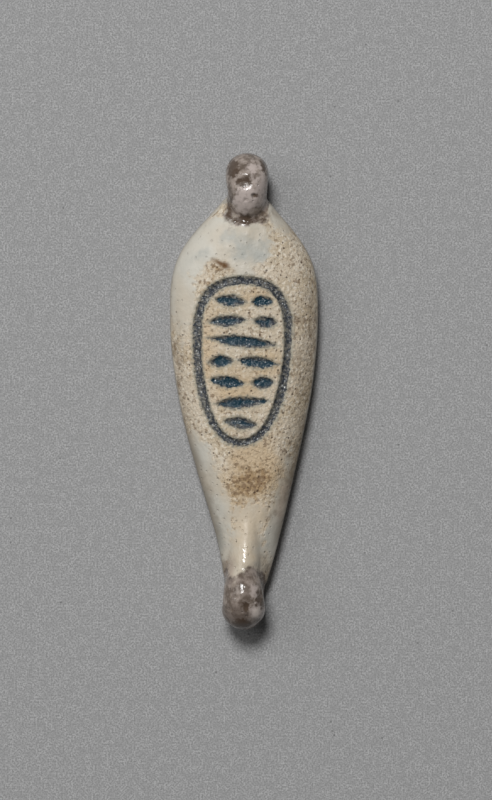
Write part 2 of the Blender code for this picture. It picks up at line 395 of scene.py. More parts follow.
def carving(x, y):
    """How deep the carving goes at a point of the face, and how far inside its edges that is."""
    flat = np.stack([x, y, np.zeros_like(x)], axis=1)
    wobble = GROOVE_WOBBLE * grain(flat, 2.3, 11)
    across, up = oval_axes(x, y)
    foot = smooth_step(-up, 0.5 * OVAL_FALL, OVAL_FALL)
    uneven = GROOVE_SWELLING * grain(flat, 1.9, 12)
    width = GROOVE_WIDTH / 2 * (1 + uneven - GROOVE_FOOT_THINNING * foot)
    share = np.abs(oval_distance(across, up) + wobble) / width
    depth = GROOVE_DEPTH * np.clip(1 - share**3, 0, 1)
    in_groove = (1 - share) * width
    in_stroke = np.full(len(x), FAR_OUTSIDE)
    ragged = STROKE_BLEED + STROKE_WOBBLE * grain(flat, 0.9, 13)
    for middle_x, middle_y, half, lean in strokes():
        dx = across - middle_x
        dy = up - middle_y
        along = dx * np.cos(lean) + dy * np.sin(lean)
        beside = np.abs(dy * np.cos(lean) - dx * np.sin(lean))
        bow = (half**2 + (STROKE_WIDTH / 2) ** 2) / STROKE_WIDTH
        within = bow - np.hypot(along, beside + bow - STROKE_WIDTH / 2) + ragged
        share = np.clip(1 - within / (STROKE_WIDTH / 2), 0, 1)
        depth = np.maximum(depth, STROKE_DEPTH * (1 - share**3))
        in_stroke = np.maximum(in_stroke, within)
    return depth, in_groove, in_stroke


print(f"the groove is cut {GROOVE_DEPTH} mm deep and the strokes {STROKE_DEPTH} mm")

# %% [markdown]
# ## Marks of the hand
#
# The rings were rolled between fingers and glazed thick, so they are lumpy, one is dented, and
# gas bubbles left pits in them. They could be sculpted, but a short table of hollows is enough
# for the few large ones and can be read and changed. Noise makes the rest uneven.

# %% Dents and pits in the rings: middle x and y, reach across and along, depth
HOLLOWS = (
    (-0.12, 19.42, 1.00, 0.75, 0.22),
    (0.77, 18.24, 0.26, 0.24, 0.18),
    (0.00, 17.85, 0.22, 0.18, 0.10),
    (-0.87, -19.20, 0.25, 0.24, 0.14),
    (-0.15, -17.60, 0.30, 0.25, 0.06),
    (0.10, -20.00, 0.40, 0.45, 0.12),
    (1.30, -19.10, 0.35, 0.60, 0.08),
)


def hollows(x, y, z):
    """How deep the dents go, for points on the upper half of a ring."""
    depth = np.zeros_like(x)
    for middle_x, middle_y, reach_x, reach_y, deep in HOLLOWS:
        share = np.hypot((x - middle_x) / reach_x, (y - middle_y) / reach_y)
        depth += deep * (1 - smooth_step(share, 0.2, 1.2))
    return depth * smooth_step(z, RING_Z, RING_Z + 1)


def on_rings(x, y, z):
    """1 on the rings themselves, fading to 0 just off them."""
    nearest = np.minimum(
        *(ring_depth(x, y, z, ring_x, ring_y) for ring_x, ring_y, *strap in TONGUES)
    )
    return 1 - smooth_step(nearest, 0.1, 0.6)


print(f"{len(HOLLOWS)} dents and pits, the deepest {max(hollow[-1] for hollow in HOLLOWS)} mm")

# %% The finished form
LONG_WAVES = 0.03
SHORT_WAVES = 0.012
RING_LUMPS = 0.07
CARVED_FROM = 1.6
CARVED_FULLY = 2.6


def bead_depth(points):
    """The finished form: plain bead, hand-made unevenness and carving."""
    x, y, z = points.T
    depth = plain_depth(x, y, z)
    on_face = smooth_step(z, CARVED_FROM, CARVED_FULLY)
    cut, in_groove, in_stroke = carving(x, y)
    uneven = LONG_WAVES * (1 + grain(points, 3.7, 1)) + SHORT_WAVES * (1 + grain(points, 1.1, 2))
    uneven += RING_LUMPS * (1 + grain(points, 1.7, 3)) * on_rings(x, y, z)
    return trimmed(depth + on_face * cut + uneven + hollows(x, y, z), y, z)


print(f"its middle lies {-bead_depth(np.array([[0, 0, CROWN / 2]]))[0]:.1f} mm under the surface")

# %% [markdown]
# ## From a function to a mesh
#
# The function is sampled on a grid. Each grid cell that the surface passes through gets one
# point, and each grid edge that pierces the surface gets one face between the four cells round
# it. This is the surface nets method. Metaballs or a remesh modifier could make the form too, but
# here its points are then moved on to the true surface with a few Newton steps, so that the grid
# no longer shows and the carving stays crisp.

# %% Sample the bead
CELL = 0.13
GRID_MARGIN = 0.3


def axis_values(reach_low, reach_high):
    return np.arange(reach_low - GRID_MARGIN, reach_high + GRID_MARGIN + CELL, CELL)


xs = axis_values(low.x / MM, high.x / MM)
ys = axis_values(low.y / MM, high.y / MM)
zs = axis_values(low.z / MM, high.z / MM)
grid = np.stack(np.meshgrid(xs, ys, zs, indexing="ij"), axis=-1)
flat_grid = grid.reshape(-1, 3).T
coarse = trimmed(plain_depth(*flat_grid), flat_grid[1], flat_grid[2])
near = np.abs(coarse) < 4 * CELL + GROOVE_DEPTH
coarse[near] = bead_depth(grid.reshape(-1, 3)[near])
samples = coarse.reshape(grid.shape[:3])
print(f"{samples.size} samples, {near.sum()} near the surface")


# %% Join the samples into a net of faces
def grid_edges(values, axis):
    """The values at the two ends of every grid edge along an axis."""
    behind = [slice(None)] * 3
    ahead = [slice(None)] * 3
    behind[axis] = slice(None, -1)
    ahead[axis] = slice(1, None)
    return values[tuple(behind)], values[tuple(ahead)]


def net_points(samples):
    """One point in each cell that the surface passes through, and the number of each point."""
    cells = tuple(n - 1 for n in samples.shape)
    total = np.zeros(cells + (3,))
    count = np.zeros(cells)
    for axis in range(3):
        a, b = grid_edges(samples, axis)
        place = np.argwhere((a < 0) != (b < 0))
        first = a[tuple(place.T)]
        crossing = place.astype(float)
        crossing[:, axis] += first / (first - b[tuple(place.T)])
        others = [other for other in range(3) if other != axis]
        for shift in itertools.product((0, 1), repeat=2):
            cell_index = place.copy()
            cell_index[:, others] -= shift
            fits = (cell_index >= 0).all(1) & (cell_index < cells).all(1)
            where = tuple(cell_index[fits].T)
            np.add.at(total, where, crossing[fits])
            np.add.at(count, where, 1)
    used = count > 0
    number = np.full(cells, -1)
    number[used] = np.arange(used.sum())
    return total[used] / count[used][:, None], number


def net_faces(samples, number):
    """One four-sided face across each grid edge that pierces the surface."""
    faces = []
    for axis in range(3):
        others = [other for other in range(3) if other != axis]
        a, b = grid_edges(samples < 0, axis)
        place = np.argwhere(a != b)
        outward = a[tuple(place.T)]
        corners = []
        for shift in ((0, 0), (1, 0), (1, 1), (0, 1)):
            cell_index = place.copy()
            cell_index[:, others] -= shift
            corners.append(number[tuple(cell_index.T)])
        quad = np.stack(corners, axis=1)
        turned = outward if axis != 1 else ~outward
        quad[~turned] = quad[~turned][:, ::-1]
        faces.append(quad)
    return np.concatenate(faces)


grid_points, number = net_points(samples)
points = grid_points * CELL + np.array([xs[0], ys[0], zs[0]])
faces = net_faces(samples, number)
print(f"the net has {len(points)} points and {2 * len(faces)} triangles")


# %% Move its points on to the true surface
def settle(points, rounds=3, step=0.02):
    """Newton steps along the depth's gradient, each capped at half a cell."""
    for _ in range(rounds):
        depth = bead_depth(points)
        slope = np.zeros_like(points)
        for axis in range(3):
            shifted = points.copy()
            shifted[:, axis] += step
            slope[:, axis] = (bead_depth(shifted) - depth) / step
        size = np.maximum((slope**2).sum(1), 0.2)
        move = -(depth / size)[:, None] * slope
        length = np.linalg.norm(move, axis=1)
        move *= np.minimum(1, CELL / 2 / np.maximum(length, 1e-9))[:, None]
        points = points + move
    return points


points = settle(points)
print(f"its points lie within {np.abs(bead_depth(points)).max():.3f} mm of the form")
corner_a, corner_b, corner_c, corner_d = (points[faces[:, i]] for i in range(4))
volume = np.einsum("ij,ij->i", corner_a, np.cross(corner_b, corner_c)).sum() / 6
volume += np.einsum("ij,ij->i", corner_a, np.cross(corner_c, corner_d)).sum() / 6
print(f"it holds {volume:.0f} cubic millimetres")


# %% Make the Blender mesh
def make_mesh(name, points, faces):
    mesh = bpy.data.meshes.new(name)
    mesh.from_pydata((points * MM).tolist(), [], faces.tolist())
    mesh.validate()
    mesh.shade_smooth()
    piece = bpy.data.objects.new(name, mesh)
    bpy.context.scene.collection.objects.link(piece)
    return piece


bead = make_mesh("glazed_bead", points, faces)
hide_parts(NODE)
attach(bead, "root")
print(f"{bead.name} stands in for {NODE}")

# %% [markdown]
# ## What lies where
#
# Each finish is a patch of the bead: smooth white glaze on the shoulder and down the walls, bare
# speckled paste in between, ochre and rust stains, grime and painted shade along the sides, brown
# glaze on the rings with dark spots that are partly painted shade. A painted picture would do, but
# it would blur close up. So a patch is a list of ellipses with a wandering edge. The mesh stores
# how far each point lies inside the white glaze and the carving, in millimetres, and how much of
# each other patch it has, from 0 to 1. The material breaks up the fine edges from that.

# %% Patches of the face: middle x and y, reach across and along, lean
WHITE_GLAZE = (
    (-4.0, 13.6, 4.4, 2.5, 0.55),
    (-0.1, 13.9, 2.6, 2.3, 0),
    (3.0, 16.6, 2.2, 0.9, -0.97),
    (-6.1, 9.4, 1.4, 4.4, 0.05),
    (-0.6, 11.5, 2.2, 0.9, 0),
    (-3.8, -8.3, 5.6, 1.5, -1.22),
    (0.4, -12.0, 1.6, 1.7, 0),
    (2.9, -13.1, 5.8, 1.1, 1.36),
    (0.1, -15.6, 1.8, 3.6, 0),
    (-2.4, -15.2, 1.2, 4.2, 0),
)
BARE_SPOT = ((-2.6, 11.3, 1.25, 0.95, -0.4),)
BLUE_TINT = (
    (0.3, 13.3, 2.2, 1.5, 0),
    (-4.1, 12.7, 1.0, 0.5, 0.4),
    (-1.6, 14.2, 0.9, 0.8, 0.4),
    (-2.5, -14.2, 0.6, 1.6, 0),
)
OCHRE = (
    (0.3, -8.5, 1.7, 2.0, 0),
    (1.2, -8.2, 1.5, 1.5, -0.3),
    (-0.9, -9.7, 0.5, 2.0, 0),
    (-2.6, 11.6, 1.1, 0.7, -0.5),
    (-3.3, 10.7, 0.6, 1.1, 0.3),
)
WARM = (
    (-3.6, 4.6, 1.1, 3.2, 0),
    (-0.6, 0.2, 2.6, 1.6, 0.2),
    (1.6, 2.4, 1.4, 1.7, 0),
    (0.7, -7.4, 2.7, 3.0, 0),
    (0.2, -12.6, 1.4, 3.4, 0),
    (0.9, 8.8, 1.6, 0.7, 0),
)
RUST = (
    (-2.5, 12.05, 0.75, 0.22, -0.45),
    (-1.9, 11.75, 0.45, 0.30, -0.7),
)
PINK_SMEAR = (
    (3.6, -10.0, 1.9, 0.45, 1.3),
    (-1.5, -17.4, 0.5, 1.6, 0),
    (0.9, -17.9, 0.6, 1.2, 0),
)
# Grime down the sides, partly painted shade on the steep lower walls.
GRIME_AND_SHADE = (
    (5.9, 4.0, 1.4, 6.5, 0),
    (4.6, -6.0, 1.2, 5.0, -0.28),
    (-6.3, 1.0, 0.8, 6.0, 0.06),
    (2.1, 16.3, 0.5, 1.0, 0.3),
    (-2.15, -15.9, 0.3, 1.2, 0),
    (-2.1, -12.2, 0.3, 1.1, 0.51),
    (-2.9, -11.0, 0.5, 2.6, 0.26),
    (2.8, -10.4, 0.8, 2.0, -0.25),
)
print(f"the white glaze takes {len(WHITE_GLAZE)} ellipses and the grime {len(GRIME_AND_SHADE)}")

# %% Patches of the rings, in the same order
# Dark spots: partly dark glaze, partly painted shade in the dents and pits and along the lower rims
# of the rings.
DARK_SPOTS_AND_SHADE = (
    (1.95, -17.2, 0.45, 1.3, 0),
    (-2.0, -16.4, 0.25, 0.4, 0),
    (0.0, -20.0, 0.42, 0.55, 0),
    (1.3, -19.3, 0.42, 0.75, 0),
    (-0.4, -21.7, 1.2, 0.4, 0),
    (-0.1, 19.5, 0.70, 0.42, 0),
    (1.65, 21.1, 0.35, 0.8, 0.3),
    (-1.65, 17.2, 0.3, 1.3, 0.1),
    (0.0, 16.0, 1.7, 0.45, 0),
    (-1.2, 20.8, 0.5, 0.9, 0),
    (0.77, 18.24, 0.16, 0.14, 0),
)
# Pale crests where the glaze ran thin; the narrow strip along the upper ring's left edge is a
# painted highlight.
PALE_CRESTS_AND_SHEEN = (
    (0.15, 17.95, 1.35, 1.25, 0),
    (0.65, 20.8, 0.55, 0.7, 0),
    (1.5, 19.0, 0.55, 1.7, 0),
    (-1.95, 19.4, 0.25, 1.6, 0),
    (0.8, -18.6, 0.35, 0.5, 0),
    (1.05, -20.6, 0.6, 0.75, 0),
)
SMOKY = (
    (-0.9, -20.9, 1.5, 1.2, 0.4),
    (0.1, -18.6, 0.5, 0.9, 0),
    (-1.2, -17.7, 0.5, 0.8, 0),
    (0.5, -17.5, 0.4, 0.6, 0),
)
BROWN_END = ((-0.1, -19.4, 2.6, 2.9, 0),)
BROWN_FOOT = ((0.0, 16.4, 2.9, 1.3, 0),)
GLASSY_STRAP = ((-0.2, -16.7, 1.2, 2.6, 0),)
WHITE_CHIP = ((1.0, -20.7, 0.42, 0.6, 0),)
NECK_GLAZE = ((-2.0, 18.2, 0.3, 1.5, 0),)
print(f"the rings have {len(DARK_SPOTS_AND_SHADE)} dark spots and {len(PALE_CRESTS_AND_SHEEN)} pale crests")


# %% Ellipses with a wandering edge
def inside_patch(ellipses, x, y):
    """How many millimetres a point of the plan lies inside the nearest of these ellipses."""
    deepest = np.full(len(x), FAR_OUTSIDE)
    for middle_x, middle_y, reach_x, reach_y, lean in ellipses:
        dx = x - middle_x
        dy = y - middle_y
        along = (dx * np.cos(lean) + dy * np.sin(lean)) / reach_x
        beside = (dy * np.cos(lean) - dx * np.sin(lean)) / reach_y
        deepest = np.maximum(deepest, (1 - np.hypot(along, beside)) * min(reach_x, reach_y))
    return deepest


def wander(points, size, reach, seed):
    """Irregular values, in millimetres, that push the edge of a patch in and out."""
    wide = grain(points, size, seed)
    fine = grain(points, size / 2.7, seed + 1)
    finest = grain(points, size / 7, seed + 2)
    return reach * (wide + 0.5 * fine + 0.3 * finest)


def store(mesh, name, values):
    layer = mesh.attributes.new(name, "FLOAT", "POINT")
    layer.data.foreach_set("value", np.ascontiguousarray(values, dtype=np.float32))


x, y, z = points.T
flat = np.stack([x, y, np.zeros_like(x)], axis=1)
print(f"{(inside_patch(GRIME_AND_SHADE, x, y) > 0).mean():.0%} of the points lie in the plan of the grime")

# %% Measure the slope, the height and the distance from the outline
OUTLINE_SHADE = 1.0
BACK_SPARED = 0.6

normals = np.zeros(3 * len(points))
bead.data.vertices.foreach_get("normal", normals)
normals = normals.reshape(-1, 3)
steep = 1 - smooth_step(normals[:, 2], 0.3, 0.75)
back = 1 - smooth_step(z, 0.2, 1.0)
in_front = smooth_step(z, 0.6, 1.6)
from_outline = half_width(y) - np.abs(x - midline(y)) + 0.2 * grain(flat, 1.6, 131)
taper = smooth_step(-y, -4, 6) * smooth_step(y, -16, -13)
down_the_taper = taper * (1 - smooth_step(from_outline, 0, OUTLINE_SHADE))
low_down = np.maximum(1 - smooth_step(z, 1.5, 3.1), down_the_taper)
# The base layer is painted shade and some dirt: low on the walls and along the taper's outline,
# less on the back.
store(bead.data, "base", low_down * (1 - BACK_SPARED * back))
print(f"{(low_down > 0.5).mean():.0%} of the points lie low down, {(back > 0.5).mean():.0%} behind")

# %% White glaze and the patches of the face
WALLS_GLAZED = 1.3
WALLS_BARE = 0.9
WALLS_UNEVEN = 0.5
FACE_PATCHES = (
    ("blue", BLUE_TINT, 1.3, 0.3, 41, -0.6, 1.0),
    ("ochre", OCHRE, 1.1, 0.35, 51, -0.7, 1.5),
    ("warm", WARM, 1.9, 0.5, 61, -0.9, 0.9),
    ("rust", RUST, 0.7, 0.12, 71, -0.2, 0.2),
    ("pink", PINK_SMEAR, 0.9, 0.25, 81, -0.4, 0.5),
    ("dark", DARK_SPOTS_AND_SHADE, 0.6, 0.15, 91, -0.3, 0.3),
    ("pale", PALE_CRESTS_AND_SHEEN, 0.8, 0.2, 101, -0.4, 0.5),
    ("glassy", GLASSY_STRAP, 0.8, 0.2, 121, -0.3, 0.5),
    ("grime_and_shade", GRIME_AND_SHADE, 1.4, 0.3, 141, -0.5, 0.8),
    ("chip", WHITE_CHIP, 0.5, 0.12, 151, -0.15, 0.25),
    ("smoky", SMOKY, 0.8, 0.2, 171, -0.4, 0.8),
)

on_walls = WALLS_GLAZED * steep - WALLS_BARE + WALLS_UNEVEN * grain(points, 4.0, 22)
on_back = grain(points, 5.0, 21) - 0.1
white = np.maximum(inside_patch(WHITE_GLAZE, x, y), on_walls) * (1 - back) + on_back * back
white = np.minimum(white, -inside_patch(BARE_SPOT, x, y))
store(bead.data, "white", white + wander(points, 1.6, 0.3, 31))
for name, ellipses, size, reach, seed, start, end in FACE_PATCHES:
    patch = inside_patch(ellipses, x, y) + wander(flat, size, reach, seed)
    store(bead.data, name, smooth_step(patch, start, end) * in_front)
print(f"{len(FACE_PATCHES)} patches are stored, and {(white > 0).mean():.0%} of the bead is white")

# %% Brown glaze
brown_end = inside_patch(BROWN_END, x, y) - 2 * (1 - smooth_step(z, 2, 3.5))
brown_end = smooth_step(brown_end + wander(flat, 1.0, 0.45, 111), -0.2, 1.2)
short_of_strap = smooth_step(y + wander(flat, 1.2, 0.7, 112), -17.4, -15.9) * (y < 0)
brown_rings = on_rings(x, y, z) * (1 - short_of_strap)
brown_foot = inside_patch(BROWN_FOOT, x, y) + wander(flat, 0.6, 0.12, 113)
brown_foot = smooth_step(brown_foot, 0, 0.8) * (z > RIM)
neck_glaze = inside_patch(NECK_GLAZE, x, y) + wander(flat, 0.8, 0.12, 161)
neck_glaze = smooth_step(neck_glaze, -0.15, 0.25)
brown = np.maximum(np.maximum(brown_end, brown_rings), brown_foot)
store(bead.data, "brown", brown * (1 - neck_glaze))
print(f"{(brown > 0.5).mean():.0%} of the points are under brown glaze")


# %% The carving and the hollows
def neighbour_mean(values, edges, count):
    total = np.zeros_like(values)
    np.add.at(total, edges[:, 0], values[edges[:, 1]])
    np.add.at(total, edges[:, 1], values[edges[:, 0]])
    return total / count[:, None]


def hollowness(points, faces, normals, rounds):
    """Over 0 in hollows and under 0 on edges: how far each point lies below its surroundings."""
    pairs = np.concatenate([faces[:, [i, (i + 1) % 4]] for i in range(4)])
    edges = np.unique(np.sort(pairs, axis=1), axis=0)
    count = np.bincount(edges.ravel(), minlength=len(points))
    smooth = points
    for _ in range(rounds):
        smooth = neighbour_mean(smooth, edges, count)
    return ((smooth - points) * normals).sum(1)


cut, in_groove, in_stroke = carving(x, y)
below_face = 2 * (1 - smooth_step(z, CARVED_FROM, CARVED_FULLY))
store(bead.data, "groove", np.clip(in_groove, -1, 1) - below_face)
store(bead.data, "stroke", np.clip(in_stroke, -1, 1) - below_face)
store(bead.data, "hollow", hollowness(points, faces, normals, 6))
print(f"{len(bead.data.attributes)} layers of values are stored on the mesh")

# %% [markdown]
# ## Shader nodes in short sentences
#
# A worn glaze needs many small nodes. They could be laid out by hand in the shader editor, but a
# few helpers keep the material readable: noise of a given size in millimetres, specks, a range of
# values turned into 0 to 1, a mix of two colours, and a paint laid on. Colours are written as they
# look on a level face under this light, and `seen` divides the light out again.

# %% Helpers for values and colours
LEVEL_LIGHT = 0.73


def seen(red, green, blue):
    """The paint that looks like this colour, 0 to 255, on a level face in this scene's light."""
    code = np.array((red, green, blue)) / 255
    light = np.where(code <= 0.04045, code / 12.92, ((code + 0.055) / 1.055) ** 2.4)
    return (*(light / LEVEL_LIGHT).tolist(), 1)


def feed(tree, socket, value):
    if isinstance(value, bpy.types.NodeSocket):
        tree.links.new(value, socket)
    else:
        socket.default_value = value


def stored(tree, name):
    """A layer of values that the mesh carries."""
    node = tree.nodes.new("ShaderNodeAttribute")
    node.attribute_name = name
    return node.outputs["Fac"]


def sums(tree, operation, first, second):
    node = tree.nodes.new("ShaderNodeMath")
    node.operation = operation
    feed(tree, node.inputs[0], first)
    feed(tree, node.inputs[1], second)
    return node.outputs[0]


def between(tree, value, start, end, low=0.0, high=1.0):
    """Goes smoothly from low to high while the value goes from start to end."""
    node = tree.nodes.new("ShaderNodeMapRange")
    node.interpolation_type = "SMOOTHSTEP"
    feed(tree, node.inputs["Value"], value)
    node.inputs["From Min"].default_value = start
    node.inputs["From Max"].default_value = end
    node.inputs["To Min"].default_value = low
    node.inputs["To Max"].default_value = high
    return node.outputs["Result"]


def mixed(tree, share, first, second):
    """The first colour where the share is 0, the second where it is 1."""
    node = tree.nodes.new("ShaderNodeMix")
    node.data_type = "RGBA"
    feed(tree, node.inputs["Factor"], share)
    feed(tree, node.inputs[6], first)
    feed(tree, node.inputs[7], second)
    return node.outputs[2]


def laid_on(tree, colour, where, strength, paint):
    """The colour with a paint laid on it at this strength, where the share says so."""
    return mixed(tree, sums(tree, "MULTIPLY", where, strength), colour, paint)


print(f"a mid grey is the paint {seen(128, 128, 128)[0]:.2f}")


# %% Helpers for noise and specks
def cloud(tree, size, detail=2.0, seed=0.0):
    """Noise from 0 to 1, mostly near a half, with blobs about this many millimetres across."""
    node = tree.nodes.new("ShaderNodeTexNoise")
    node.noise_dimensions = "4D"
    tree.links.new(tree.nodes["place"].outputs["Object"], node.inputs["Vector"])
    node.inputs["W"].default_value = seed
    node.inputs["Scale"].default_value = 0.5 / (size * MM)
    node.inputs["Detail"].default_value = detail
    node.inputs["Roughness"].default_value = 0.6
    return node.outputs["Fac"]


def swing(tree, size, reach, detail=3.0, seed=0.0, spread=0.2):
    """Noise that swings this far to both sides of zero."""
    noise = cloud(tree, size, detail, seed)
    return between(tree, noise, 0.5 - spread, 0.5 + spread, -reach, reach)


def specks(tree, spacing, reach, kept):
    """Round specks, 1 in their middle: this share of one every so many millimetres."""
    node = tree.nodes.new("ShaderNodeTexVoronoi")
    tree.links.new(tree.nodes["place"].outputs["Object"], node.inputs["Vector"])
    node.inputs["Scale"].default_value = 1 / (spacing * MM)
    apart = tree.nodes.new("ShaderNodeSeparateColor")
    tree.links.new(node.outputs["Color"], apart.inputs["Color"])
    chosen = sums(tree, "LESS_THAN", apart.outputs["Red"], kept)
    round_spot = between(tree, node.outputs["Distance"], reach / spacing, 0.5 * reach / spacing)
    return sums(tree, "MULTIPLY", chosen, round_spot)


print("noise and specks are measured in millimetres, like the form")


# %% Begin the bead's finish
def new_finish(name):
    """A material with an object-space place node, and its Principled shader."""
    finish = bpy.data.materials.new(name)
    finish.use_nodes = True
    tree = finish.node_tree
    tree.nodes.new("ShaderNodeTexCoord").name = "place"
    return finish, tree, tree.nodes["Principled BSDF"]


finish, tree, shader = new_finish("worn_glaze")
bead.data.materials.append(finish)
print(f"{finish.name} is on {bead.name}")

# %% [markdown]
# ## The bare paste
#
# Where the glaze has gone, the body shows: pale quartz sand held together by a little glass, with
# brown specks and fine pits. Its colour wanders from cream to pinkish beige, and soil has stained
# it ochre in places. One noise would look like felt, so each kind of speck has its own.

# %% Cream paste, stained ochre
PASTE_CREAM = seen(200, 187, 167)
PASTE_BEIGE = seen(188, 173, 149)
SAND_GRAIN = seen(214, 204, 187)
WARM_PASTE = seen(192, 168, 134)
OCHRE_STAIN = seen(160, 134, 100)

wide_patches = between(tree, cloud(tree, 1.8, 3.0, 1.0), 0.4, 0.62)
paste_colour = mixed(tree, wide_patches, PASTE_CREAM, PASTE_BEIGE)
sand_grains = between(tree, cloud(tree, 0.16, 2.0, 2.0), 0.50, 0.62)
paste_colour = mixed(tree, sand_grains, paste_colour, SAND_GRAIN)
paste_colour = laid_on(tree, paste_colour, stored(tree, "warm"), 0.75, WARM_PASTE)
stain = sums(tree, "ADD", stored(tree, "ochre"), swing(tree, 0.22, 0.4, seed=3.0, spread=0.15))
paste_colour = mixed(tree, between(tree, stain, 0.1, 1.2), paste_colour, OCHRE_STAIN)
print(f"the paste takes {len(tree.nodes)} nodes")

# %% Specks in the paste
FINE_SPECK = seen(112, 88, 64)
SOIL = seen(100, 72, 44)
DARK_SPECK = seen(80, 60, 44)

speck_zone = between(tree, cloud(tree, 1.4, 2.0, 5.0), 0.35, 0.65, -0.03, 0.015)
stained_zone = sums(tree, "MULTIPLY", stored(tree, "ochre"), 0.08)
speck_zone = sums(tree, "ADD", speck_zone, stained_zone)
fine_specks = sums(tree, "ADD", cloud(tree, 0.18, 3.0, 4.0), speck_zone)
fine_specks = between(tree, fine_specks, 0.53, 0.62)
paste_colour = laid_on(tree, paste_colour, fine_specks, 0.66, FINE_SPECK)
soil = sums(tree, "MULTIPLY", specks(tree, 0.34, 0.11, 0.7), stored(tree, "ochre"))
paste_colour = laid_on(tree, paste_colour, soil, 0.85, SOIL)
dark_specks = specks(tree, 0.55, 0.12, 0.6)
paste_colour = laid_on(tree, paste_colour, dark_specks, 0.8, DARK_SPECK)
print(f"with its specks it takes {len(tree.nodes)}")

# %% [markdown]
# ## The white glaze
#
# On the shoulder and the walls the glaze survives: opaque white, a little blue where it is thick,
# pinkish where it is thin. It is smooth, with a few dark specks and pinholes. A second material
# would end at a hard line, so it is mixed over the paste with a crumbling edge.

# %% White glaze over the paste
GLAZE_WHITE = seen(194, 190, 179)
GLAZE_IVORY = seen(191, 182, 166)
WARM_GLAZE = seen(188, 170, 144)
BLUISH_GLAZE = seen(160, 162, 156)
PINHOLE = seen(92, 82, 70)
PINKISH = seen(150, 122, 106)
RUST_BROWN = seen(100, 70, 38)

ivory_share = between(tree, cloud(tree, 2.2, 2.0, 6.0), 0.38, 0.62)
glaze_colour = mixed(tree, ivory_share, GLAZE_WHITE, GLAZE_IVORY)
glaze_colour = laid_on(tree, glaze_colour, stored(tree, "warm"), 0.7, WARM_GLAZE)
streaked = swing(tree, 0.8, 0.28, seed=18.0, spread=0.15)
blue_share = between(tree, sums(tree, "ADD", stored(tree, "blue"), streaked), 0.0, 1.2, 0.0, 0.85)
glaze_colour = mixed(tree, blue_share, glaze_colour, BLUISH_GLAZE)
glaze_colour = laid_on(tree, glaze_colour, specks(tree, 1.15, 0.12, 0.5), 0.75, PINHOLE)
white_edge = sums(tree, "ADD", stored(tree, "white"), swing(tree, 0.3, 0.3, seed=7.0))
is_white = between(tree, white_edge, -0.30, 0.34)
colour = mixed(tree, is_white, paste_colour, glaze_colour)
colour = laid_on(tree, colour, stored(tree, "pink"), 0.45, PINKISH)
colour = mixed(tree, stored(tree, "rust"), colour, RUST_BROWN)
print(f"with the white glaze it takes {len(tree.nodes)}")

# %% [markdown]
# ## The rings
#
# Manganese makes a brown glaze that looks like thin smoked glass: dark where it is thick, pale
# and pinkish on the crests, where it ran thin over the white body. Real glass over a white core
# could be rendered, but so thin a coat shows only as colour, and colour costs far less.

# %% Brown glaze on the rings
BROWN_THICK = seen(99, 88, 79)
BROWN_THIN = seen(150, 138, 129)
PALE_PINKISH = seen(188, 176, 170)
BROWN_PAINTED_SHADE = seen(68, 58, 51)
SMOKE = seen(92, 80, 72)
NEARLY_BLACK = seen(60, 48, 40)
CHIPPED_WHITE = seen(224, 212, 202)
DARK_SMEAR_AND_SHADE = seen(88, 72, 58)

thin_share = between(tree, cloud(tree, 0.5, 4.0, 8.0), 0.39, 0.61)
brown_colour = mixed(tree, thin_share, BROWN_THICK, BROWN_THIN)
streaks = swing(tree, 0.25, 0.28, seed=17.0, spread=0.14)
# Pale crests, and a painted highlight along the upper ring's left edge.
pale_share = sums(tree, "ADD", stored(tree, "pale"), streaks)
pale_share = between(tree, pale_share, 0.0, 1.0, 0.0, 0.85)
brown_colour = mixed(tree, pale_share, brown_colour, PALE_PINKISH)
# Painted shade darkens the brown glaze low on the rings.
brown_colour = laid_on(tree, brown_colour, stored(tree, "base"), 0.6, BROWN_PAINTED_SHADE)
brown_colour = laid_on(tree, brown_colour, stored(tree, "smoky"), 0.6, SMOKE)
# Dark spots: dark glaze, and painted shade in the dents and pits and along the rings' lower rims.
dark_and_shade_share = sums(tree, "SUBTRACT", stored(tree, "dark"), streaks)
dark_and_shade_share = between(tree, dark_and_shade_share, 0.15, 0.85, 0.0, 0.85)
brown_colour = mixed(tree, dark_and_shade_share, brown_colour, NEARLY_BLACK)
brown_colour = laid_on(tree, brown_colour, stored(tree, "chip"), 0.8, CHIPPED_WHITE)
brown_edge = sums(tree, "ADD", stored(tree, "brown"), swing(tree, 0.4, 0.3, seed=9.0))
is_brown = between(tree, brown_edge, 0.25, 0.85)
colour = mixed(tree, is_brown, colour, brown_colour)
# The same dark spots and painted shade also darken the glaze round the rings.
colour = laid_on(tree, colour, dark_and_shade_share, 0.5, DARK_SMEAR_AND_SHADE)
print(f"with the brown glaze it takes {len(tree.nodes)}")

# %% [markdown]
# ## The inlay
#
# The carving is filled with a dark blue glaze that shrank as it cooled. It is slate-coloured and
# rough with tiny glints, some of them painted as white specks, deeper and greener where it pooled,
# and it bleeds a grey-green line into the paste beside it. The same stored distances that cut the
# mesh place the colour, so the two can't drift apart.

# %% Dark blue glaze in the carving
BLEED = seen(136, 136, 124)
SLATE = seen(56, 60, 66)
SLATE_GREY = seen(110, 108, 102)
POOLED_BLUE = seen(29, 56, 69)
PAINTED_GLINT = seen(180, 184, 184)

ragged = swing(tree, 0.16, 0.11, seed=10.0)
cut_edge = sums(tree, "MAXIMUM", stored(tree, "groove"), stored(tree, "stroke"))
inlay_edge = sums(tree, "ADD", cut_edge, ragged)
colour = mixed(tree, between(tree, inlay_edge, -0.26, 0.02, 0.0, 0.6), colour, BLEED)
grey_share = between(tree, cloud(tree, 0.17, 3.0, 11.0), 0.44, 0.60)
slate = mixed(tree, grey_share, SLATE, SLATE_GREY)
pooled = swing(tree, 0.9, 0.30, detail=2.0, seed=12.0)
pooled = sums(tree, "ADD", stored(tree, "stroke"), pooled)
slate = mixed(tree, between(tree, pooled, 0.05, 0.35), slate, POOLED_BLUE)
